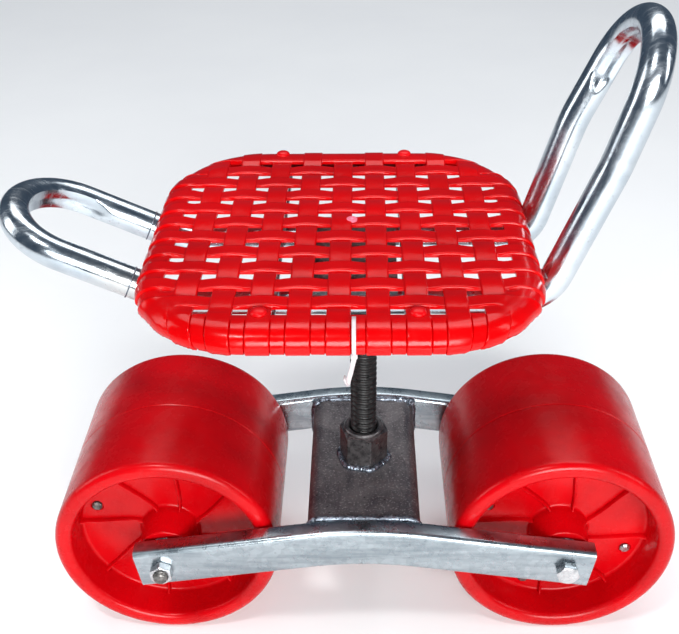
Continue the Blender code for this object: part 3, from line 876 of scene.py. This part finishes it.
def bent_tube(name, path, dents, cad):
    """Round tube whose bends are flattened on the inside.

    A dent is (start, end, ramp in, ramp out, direction, depth, furrow) along the path."""

    def section(run):
        ring = []
        for angle in circle(48):
            radius = TUBE_R
            for start, end, ramp_in, ramp_out, turn, depth, furrow in dents:
                rise = min((run - start) / ramp_in, (end - run) / ramp_out, 1)
                if rise <= 0:
                    continue
                amount = rise * rise * (3 - 2 * rise)
                facing = cos(angle - turn)
                if facing > 0.05:
                    radius = min(radius, TUBE_R * (1 - depth * amount) / facing)
                    off = TUBE_R * sin(angle - turn) / 3.6
                    radius -= furrow * amount * exp(-off * off)
            ring.append((radius * cos(angle), radius * sin(angle)))
        return ring

    return sweep(name, path, section, "tube", "seat", Vector((0, -1, 0)), None, cad)


def run_length(path):
    return sum((b - a).length for a, b in zip(path, path[1:]))


def ring_bead(name, centre, direction, radius, thick, seed):
    """A weld bead round a tube."""
    side = direction.orthogonal().normalized()
    other = direction.cross(side).normalized()
    path = []
    for angle in circle(60):
        path.append(centre + side * radius * cos(angle) + other * radius * sin(angle))
    weld_bead(name, path, thick, "seat", seed)


def build_tubes():
    front_rise = tan(FRONT_TILT)
    joint = Vector((JOINT_X, 0, LEG_Z + (FRONT_BEND_X - JOINT_X) * front_rise))
    front_z = LEG_Z + (FRONT_BEND_X - FRONT_X) * front_rise
    back_z = LEG_Z + (BACK_X - BACK_BEND_X) * tan(BACK_TILT)
    slope = Vector((-cos(FRONT_TILT), 0, sin(FRONT_TILT)))
    leg = Vector((0, LEG_Y, 0))

    front = Vector((FRONT_X, 0, front_z))
    corners = [joint + leg, front + leg, front - leg, joint - leg]
    path = evenly(rounded_path(corners, [LEG_Y, LEG_Y], 40), 3)
    total = run_length(path)
    bend = pi * LEG_Y
    straight = (total - bend) / 2
    dent = (straight - 26, straight + bend - 6, 20, 60, 0, 0.28, 0.7)
    bent_tube("front_handle_tube", path, [dent], ["front_handle"])

    back = Vector((BACK_X, 0, back_z))
    halfway = Vector((blend(BACK_BEND_X, BACK_X, 0.55), 0, blend(LEG_Z, back_z, 0.55)))
    corners = [joint + leg, Vector((FRONT_BEND_X, LEG_Y, LEG_Z)), Vector((BACK_BEND_X, LEG_Y, LEG_Z))]
    corners += [halfway + leg + Vector((FAR_LEG_BOW, 0, 0)), back + leg, back - leg]
    corners += [halfway - leg + Vector((NEAR_LEG_BOW, 0, 0))]
    corners += [Vector((BACK_BEND_X + NEAR_BEND_OUT, -LEG_Y, LEG_Z))]
    corners += [Vector((FRONT_BEND_X, -LEG_Y, LEG_Z)), joint - leg]
    radii = [FRONT_BEND_R, KINK_R, LEG_BOW_R, LEG_Y, LEG_Y, LEG_BOW_R, KINK_R, FRONT_BEND_R]
    path = evenly(rounded_path(corners, radii, 40), 3)
    total = run_length(path)
    rise = (corners[4] - corners[3]).length + (corners[3] - corners[2]).length - LEG_Y
    kink_mid = total / 2 - bend / 2 - rise
    dents = [(total / 2 - bend / 2 - 30, total / 2 + bend / 2 - 10, 20, 60, 0, 0.28, 0.7)]
    for centre, near in ((kink_mid, False), (total - kink_mid, True)):
        inner = -pi / 2
        ramps = (3.5, 26) if near else (26, 3.5)
        dents.append((centre - 27, centre + 27, *ramps, inner, 0.2, 0.7))
        for fold in range(3):
            at = centre + (-9 if near else 9) * (fold - 0.4)
            dents.append((at - 3.2, at + 3.2, 3.2, 3.2, inner, 0.24, 1.3))
    bent_tube("back_frame_tube", path, dents, ["back_frame"])
    for hand, side in HANDS:
        ring_bead(f"handle_weld_{hand}", joint + leg * side, slope, TUBE_R, 0.7, 31 + side)


build_tubes()

# ---- steel under the seat


def build_deck():
    low, high = span("mount_plate")
    slab("mount_plate_steel", low, high, "mill_steel", "seat", 0.8, ["mount_plate"])
    for end in ("front", "rear"):
        low, high = span(f"cross_bar_{end}")
        low.y = max(low.y, -CROSS_REACH)
        slab(f"cross_bar_{end}_flat", low, high, "bar", "seat", 1, [f"cross_bar_{end}"])
        mid_x = (low.x + high.x) / 2
        for hand, side in HANDS:
            seam = [Vector((mid_x + x, side * LEG_Y, low.z - 0.4)) for x in (-9, 9)]
            weld_bead(f"cross_weld_{end}_{hand}", seam, 2.4, "seat", 41 + side, 0.7, False)
    for hand in ("left", "right"):
        low, high = span(f"seat_rail_{hand}")
        radius = (high.z - low.z) / 2
        spot = (0, *middle(f"seat_rail_{hand}")[1:])
        profile = [(0, low.x), (radius - 0.8, low.x), (radius, low.x + 0.8), (radius, high.x - 0.8)]
        profile += [(radius - 0.8, high.x), (0, high.x)]
        lathe(f"seat_rail_{hand}_rod", profile, spot, "bar", "seat", "X", 48, [f"seat_rail_{hand}"])
    low, high = span("screw_collar")
    bore, node = SCREW_R + 0.6, "screw_collar"
    ring = [(bore, low.z), (17.2, low.z), (18, low.z + 0.8), (18, high.z), (bore, high.z)]
    lathe(f"{node}_ring", ring, (0, 0, 0), "mill_steel", body_of(node), "Z", 72, [node])
    turns = [pi / 30 * k for k in range(60)]
    seam = [Vector((18.6 * cos(turn), 18.6 * sin(turn), high.z - 1.2)) for turn in turns]
    weld_bead("collar_weld", seam, 2.2, "seat", 51)


build_deck()

# ---- woven seat


def ease(value, start, end):
    """0 at start, 1 at end, smooth between."""
    t = min(max((value - start) / (end - start), 0), 1)
    return t * t * (3 - 2 * t)


def rim_frame(u, v):
    """(distance from the rim line, hub point, outward direction, corner angle) at a point."""
    qx = abs(u) - FLAT_X
    qy = abs(v) - FLAT_Y
    sx = 1 if u > 0 else -1
    sy = 1 if v > 0 else -1
    if qx > 0 and qy > 0:
        far = hypot(qx, qy)
        hub = (sx * FLAT_X, sy * FLAT_Y)
        return far - RIM_CORNER, hub, (sx * qx / far, sy * qy / far), degrees(atan2(qy, qx))
    if qx > qy:
        return qx - RIM_CORNER, (sx * FLAT_X, v), (sx, 0), 0
    return qy - RIM_CORNER, (u, sy * FLAT_Y), (0, sy), 90


def strip_drop(offset, half, radius):
    """How far a strip's rounded edge lies below its top, or None beside the strip."""
    inside = abs(offset) - (half - radius)
    if inside > radius + 1e-6:
        return None
    if inside <= 0:
        return 0
    return radius - sqrt(max(radius * radius - inside * inside, 0))


def cell_of(u, v):
    """Nearest column and row, and the offsets from their centrelines."""
    k = max(-COL_LAST - 1, min(COL_LAST + 1, round(u / COL_PITCH)))
    j = max(ROW_FIRST - 1, min(ROW_LAST + 1, round(v / ROW_PITCH - 0.5)))
    return k, j, u - k * COL_PITCH, v - (j + 0.5) * ROW_PITCH


def in_gap(u, v):
    """Centre of the lattice gap around a point, or None on a strip."""
    gap_u = (floor(u / COL_PITCH) + 0.5) * COL_PITCH
    gap_v = round(v / ROW_PITCH) * ROW_PITCH
    if abs(gap_u) > (COL_LAST + 1) * COL_PITCH or abs(gap_v) > ROW_LAST * ROW_PITCH + 30:
        return None
    if abs(u - gap_u) > COL_PITCH / 2 - COL_HALF or abs(v - gap_v) > ROW_PITCH / 2 - ROW_HALF:
        return None
    return gap_u, gap_v


def is_hole(gap):
    return rim_frame(*gap)[0] <= (-11 if gap[1] < 0 else -10)


def relief(u, v):
    """Height of the moulded weave above its lowest level."""
    far, _, _, turn = rim_frame(u, v)
    k, j, du, dv = cell_of(u, v)
    front = ease(v, -122, -132)
    rear = ease(v, 122, 131)
    flank = ease(abs(u), 124, 134)
    edge = ease(far, -12, -6)
    corner_col = ease(turn, 44, 53)
    corner_row = ease(turn, 31, 23)
    side_on = 1 - ease(turn, 30, 45)
    height = base = blend(1.4, 0.9, side_on) * ease(far, -20, -10)
    row_over = (k + j) % 2 != 0
    phase = 1 if row_over else -1
    drop = strip_drop(du, COL_HALF, blend(STRIP_EDGE_R, 0.9, edge))
    if drop is not None and abs(k) <= COL_LAST:
        top = WEAVE_MID - phase * WEAVE_SWING * cos(pi * dv / ROW_PITCH)
        top = blend(top, 2.1, front)
        top = blend(top, 3 if k % 2 else -1, rear)
        height = max(height, base + (top - drop - base) * blend(1, corner_col, edge))
    drop = strip_drop(dv, ROW_HALF, blend(STRIP_EDGE_R, 1.2, edge))
    if drop is not None and ROW_FIRST <= j <= ROW_LAST:
        top = WEAVE_MID + phase * WEAVE_SWING * cos(pi * du / COL_PITCH)
        top = blend(top, 2.5, flank)
        height = max(height, base + (top - drop - base) * blend(1, corner_row, edge))
    band = v - (ROW_LAST + 1.5) * ROW_PITCH + ROW_HALF
    if band > 0:
        round_off = STRIP_EDGE_R - sqrt(max(STRIP_EDGE_R**2 - max(STRIP_EDGE_R - band, 0) ** 2, 0))
        height = max(height, 2.2 - round_off)
    groove = max(0, 1 - abs(abs(du) - COL_HALF - 0.35) / 0.5)
    if v < 0 and abs(k) <= COL_LAST:
        height -= 1 * groove * edge * corner_col
    gap = in_gap(u, v)
    if gap and not is_hole(gap) and far < -1:
        slit = max(0, 1 - abs(v - gap[1] - 3.2) / 1.2) * max(0, 1 - (abs(u - gap[0]) / 4.8) ** 4)
        height -= 1.1 * slit
    return height


def curve_table(points, parts=12):
    """A smooth curve through points as (length, point, normal) samples."""
    padded = [points[0]] + points + [points[-1]]
    fine = []
    for p0, p1, p2, p3 in zip(padded, padded[1:], padded[2:], padded[3:]):
        for n in range(parts):
            t = n / parts
            spot = []
            for a, b, c, d in zip(p0, p1, p2, p3):
                square, cube = (2 * a - 5 * b + 4 * c - d) * t * t, (3 * b - a - 3 * c + d) * t**3
                spot.append(0.5 * (2 * b + (c - a) * t + square + cube))
            fine.append(spot)
    fine.append(points[-1])
    table = []
    run = 0
    for i, (x, z) in enumerate(fine):
        before, after = fine[max(i - 1, 0)], fine[min(i + 1, len(fine) - 1)]
        run += dist(fine[i - 1], fine[i]) if i else 0
        dx, dz = after[0] - before[0], after[1] - before[1]
        size = hypot(dx, dz)
        table.append((run, x, z, -dz / size, dx / size))
    return table


RIM_TABLE = curve_table(RIM_PROFILE)
RIM_END = RIM_START + RIM_TABLE[-1][0]


def rim_at(length):
    low, high = 0, len(RIM_TABLE) - 1
    while high - low > 1:
        mid = (low + high) // 2
        if RIM_TABLE[mid][0] <= length:
            low = mid
        else:
            high = mid
    a, b = RIM_TABLE[low], RIM_TABLE[high]
    t = min(max((length - a[0]) / (b[0] - a[0]), 0), 1)
    return [blend(p, q, t) for p, q in zip(a[1:], b[1:])]


def seat_point(u, v, height):
    """A point of the shell from its place on the flattened sheet and its height."""
    far, hub, out, _ = rim_frame(u, v)
    if far <= RIM_START:
        return (SEAT_X + u, v, WEAVE_Z + height)
    x, z, nx, nz = rim_at(far - RIM_START)
    reach = RIM_CORNER + x + nx * height
    return (SEAT_X + hub[0] + out[0] * reach, hub[1] + out[1] * reach, z + nz * height)


def strip_lines(centres, half, gap_lines, limit):
    """Sheet lines across one direction: close at strip edges, evenly spaced beyond."""
    marks = [0, half * 0.36, half * 0.66]
    marks += [half + n for n in (-1.6, -1.1, -0.65, -0.3, -0.08, 0, 0.35, 0.85)]
    lines = set()
    for centre in centres:
        for mark in marks:
            lines |= {round(centre + mark, 3), round(centre - mark, 3)}
    lines |= {round(mark, 3) for mark in gap_lines}
    outer = max(lines)
    count = ceil((limit - outer) / 2)
    for n in range(1, count + 1):
        step = outer + (limit - outer) * n / count
        lines |= {round(step, 3), round(-step, 3)}
    return sorted(lines)


def build_seat():
    columns = [k * COL_PITCH for k in range(-COL_LAST, COL_LAST + 1)]
    rows = [(j + 0.5) * ROW_PITCH for j in range(ROW_FIRST, ROW_LAST + 1)]
    col_gaps = [(k + 0.5) * COL_PITCH + n for k in range(-COL_LAST - 1, COL_LAST + 1) for n in (-1.6, 1.6)]
    col_gaps += [s * ((COL_LAST + 1) * COL_PITCH - COL_HALF) for s in (-1, 1)]
    row_gaps = [j * ROW_PITCH + n for j in range(ROW_FIRST, ROW_LAST + 2) for n in (-1.7, 1.6, 3.2, 4.4)]
    top_band = (ROW_LAST + 1.5) * ROW_PITCH - ROW_HALF
    row_gaps += [s * (top_band + n) for s in (-1, 1) for n in (0, 0.25, 0.6, 1.1, 1.6)]
    reach = RIM_END + 1.5
    us = strip_lines(columns, COL_HALF, col_gaps, RIM_HX + reach)
    vs = strip_lines(rows, ROW_HALF, row_gaps, RIM_HY + reach)
    nu, nv = len(us), len(vs)

    kept = set()
    for i in range(nu - 1):
        for j in range(nv - 1):
            u, v = (us[i] + us[i + 1]) / 2, (vs[j] + vs[j + 1]) / 2
            gap = in_gap(u, v)
            if rim_frame(u, v)[0] < RIM_END and not (gap and is_hole(gap)):
                kept.add((i, j))

    used = {(i + a, j + b) for i, j in kept for a in (0, 1) for b in (0, 1)}
    lip = RIM_END - 5
    index = {}
    tops, unders = [], []
    for i, j in sorted(used):
        u, v = us[i], vs[j]
        far, hub, out, _ = rim_frame(u, v)
        around = {(i - a, j - b) for a in (0, 1) for b in (0, 1)}
        if far > lip and not around <= kept:
            u, v = hub[0] + out[0] * (RIM_CORNER + RIM_END), hub[1] + out[1] * (RIM_CORNER + RIM_END)
        index[i, j] = len(tops)
        tops.append(seat_point(u, v, relief(u, v)))
        unders.append(seat_point(u, v, -SHELL_T))
    count = len(tops)
    faces = []
    for i, j in kept:
        ring = [(i, j), (i + 1, j), (i + 1, j + 1), (i, j + 1)]
        a, b, c, d = (index[spot] for spot in ring)
        faces.append((a, b, c, d))
        faces.append((a + count, d + count, c + count, b + count))
        for (p, q), step in zip(((a, b), (b, c), (c, d), (d, a)), ((0, -1), (1, 0), (0, 1), (-1, 0))):
            if (i + step[0], j + step[1]) not in kept:
                faces.append((p, p + count, q + count, q))
    faces.sort()
    place("woven_seat", tops + unders, faces, "seat_red", "seat", ["seat_panel"], 42)


def build_seat_trim():
    """Fixing studs and the moulding gate left near the middle of the seat."""
    for end in ("front", "rear"):
        for hand in ("left", "right"):
            node = f"seat_stud_{end}_{hand}"
            low = span(node)[0]
            x, y, _ = middle(node)
            u = x - SEAT_X
            seat = seat_point(u, y, relief(u, y))[2] + 0.3
            dome = [(0, low.z), (2.6, low.z), (2.6, seat - 2.2), (STUD_R - 0.2, seat - 2.2)]
            dome.append((STUD_R, seat - 0.2))
            for a in map(radians, range(5, 90, 9)):
                dome.append((STUD_R * cos(a), seat + STUD_RISE * sin(a)))
            dome.append((0, seat + STUD_RISE))
            lathe(f"stud_{end}_{hand}", dome, (x, y, 0), "stud_red", "seat", "Z", 48, [node])
    gate = [(0, 1), (4.4, 1), (4.4, 2.6), (4, 2.9), (2, 2.9), (1.7, 3.6), (1.2, 4), (0, 3.8)]
    gate = [(r, WEAVE_Z + h) for r, h in gate]
    lathe("moulding_gate", gate, (SEAT_X + 8.6, 13, 0), "gate_pink", "seat", "Z", 40)


build_seat()
build_seat_trim()

# ---- cable tie


def build_tie():
    """Nylon tie round the front rim: strap, lock and a ribbed tail."""
    low, high = span("cable_tie")
    tie_x = high.x - 3.2
    centre = Vector((tie_x, -RIM_HY + 0.4, 373.4))
    path = [centre + Vector((0, 13.9 * cos(a), 13.2 * sin(a))) for a in circle(72)]
    strap = rounded_section(1.1, 3, 0.4, 3)
    side, tie = Vector((0, 1, 0)), ["cable_tie"]
    sweep("tie_strap", path, lambda run: strap, "tie_white", "seat", side, closed=True, cad=tie)
    edge = -RIM_HY
    lock_low, lock_high = (tie_x - 2.5, edge - 2.8, 355.2), (tie_x + 2.5, edge + 2.4, 359.6)
    slab("tie_lock", lock_low, lock_high, "tie_white", "seat", 1)
    bends = ((0, -1.4, 355.5), (-2.2, -2, 345), (-5, -2.6, 334), (-7, -3, low.z + 14))
    tail = evenly([Vector((tie_x + x, edge + y, z)) for x, y, z in bends], 0.4)
    full = run_length(tail)

    def ribbed(run):
        end = ease(run, full - 6.5, full - 4)
        half = blend(1.75, 2.2, end)
        thick = blend(0.5, 0.75, end) + (0.12 if run % 1.2 < 0.6 and end < 0.5 else 0)
        return [(a * half / 2, b * thick / 2) for a, b in rounded_section(4, 4, 1, 2)]

    sweep("tie_tail", tail, ribbed, "tie_white", "seat", Vector((1, 0, 0)))


build_tie()

# ---- CAD pieces that stay

for node_name, node in frame["nodes"].items():
    if node.hide_render:
        continue
    # Painted shade: the wheel screws in their web holes get the dark zinc, while rear_wheel_screw_2 keeps the
    # bright zinc where it catches the light.
    shaded_screw = "wheel_screw" in node_name and node_name != "rear_wheel_screw_2"
    for material_slot in node.material_slots:
        material_slot.material = LOOKS["dark_zinc" if shaded_screw else "zinc"]
    smoothed(node.data)

# ---- floor, light, camera


def build_floor():
    bm = bmesh.new()
    bmesh.ops.create_grid(bm, x_segments=8, y_segments=8, size=2.6)
    mesh = bpy.data.meshes.new("studio_floor")
    bm.to_mesh(mesh)
    bm.free()
    mesh.materials.append(floor_look())
    linked("studio_floor", mesh)


def area_light(name, place_at, size, power, target=(0, 0, 0.3), colour=(1, 1, 1)):
    lamp = bpy.data.lights.new(name, "AREA")
    lamp.shape = "RECTANGLE"
    lamp.size, lamp.size_y = size
    lamp.energy = power
    lamp.color = colour
    obj = linked(name, lamp)
    obj.location = place_at
    obj.rotation_euler = (Vector(target) - Vector(place_at)).to_track_quat("-Z", "Y").to_euler()


def build_lights():
    world = bpy.data.worlds.new("studio")
    world.use_nodes = True
    nodes, links = world.node_tree.nodes, world.node_tree.links
    sky = nodes["Background"]
    path = nodes.new("ShaderNodeLightPath")
    shade = nodes.new("ShaderNodeMix")
    shade.data_type = "RGBA"
    shade.inputs[6].default_value = (0.058, 0.084, 0.12, 1)
    shade.inputs[7].default_value = (0.8, 0.81, 0.83, 1)
    links.new(path.outputs["Is Camera Ray"], shade.inputs[0])
    links.new(shade.outputs[2], sky.inputs["Color"])
    sky.inputs["Strength"].default_value = 1
    bpy.context.scene.world = world
    area_light("key", (-0.5, -0.9, 2.2), (0.42, 0.16), 14)
    area_light("front", (0.35, -2.3, 1.15), (1.7, 0.9), 96, (0, 0, 0.25))
    area_light("back", (0.3, 0.9, 2.6), (1.8, 0.5), 10, colour=(0.92, 0.96, 1))
    area_light("right", (2.1, -0.5, 1.2), (0.3, 1.2), 9)
    area_light("sweep", (0, 2.9, 4.6), (5, 2.4), 120, (0, 3.4, 0))
    area_light("left", (-2.1, 0, 1.1), (0.7, 1.5), 12)


CAMERA_AT = Vector((0.00596, -0.74674, 0.77348))
CAMERA_PITCH = 0.5665
CAMERA_YAW = -0.0155
CAMERA_ROLL = -0.0108


def build_camera():
    data = bpy.data.cameras.new("camera")
    data.sensor_width = 36
    data.lens = 54.58
    data.shift_x = -0.0126
    data.shift_y = -0.0054
    data.clip_start = 0.01
    level = cos(CAMERA_PITCH)
    ahead = Vector((sin(CAMERA_YAW) * level, cos(CAMERA_YAW) * level, -sin(CAMERA_PITCH)))
    right = Vector((cos(CAMERA_YAW), -sin(CAMERA_YAW), 0))
    up = right.cross(ahead)
    side = right * cos(CAMERA_ROLL) + up * sin(CAMERA_ROLL)
    rise = up * cos(CAMERA_ROLL) - right * sin(CAMERA_ROLL)
    camera = linked("camera", data)
    camera.matrix_world = Matrix((side, rise, -ahead)).transposed().to_4x4()
    camera.location = CAMERA_AT
    bpy.context.scene.camera = camera


build_floor()
build_lights()
build_camera()
bpy.context.scene.view_settings.view_transform = "Standard"
